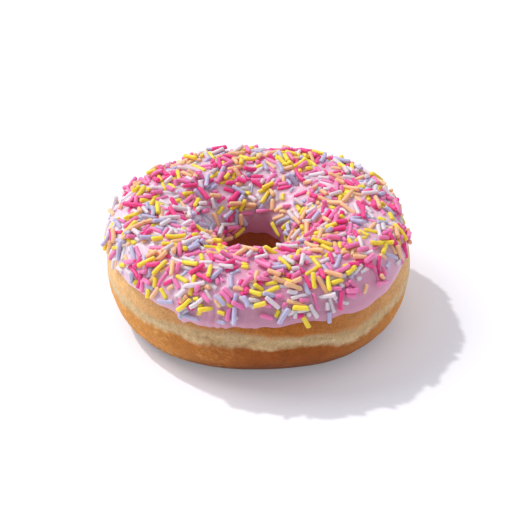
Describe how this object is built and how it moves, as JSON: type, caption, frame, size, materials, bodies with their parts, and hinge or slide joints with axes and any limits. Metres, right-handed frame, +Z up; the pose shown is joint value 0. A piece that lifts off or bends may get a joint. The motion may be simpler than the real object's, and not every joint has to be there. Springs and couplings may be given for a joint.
{
  "type": "frosted ring doughnut",
  "caption": "Raised ring doughnut with golden crusts and a pale belt, coated on top with pale pink icing and covered in coloured sprinkles.",
  "frame": {"origin": "on the surface the doughnut rests on, under the middle of its bounding box", "axes": "+Z up through the hole, +X to the right of the side shown, -Y towards the viewer of that side"},
  "size_m": [0.0946, 0.0957, 0.0377],
  "materials": {
    "crust": "fried dough, satin and slightly grainy: golden brown with a pale belt round the side",
    "icing": "set sugar icing, smooth with a soft gloss, pale pink",
    "sprinkles": "sugar strands, satin: hot pink, rose, yellow, peach, lavender and white"
  },
  "bodies": {
    "root": {"dough": "crust", "icing": "icing"}
  },
  "joints": []
}
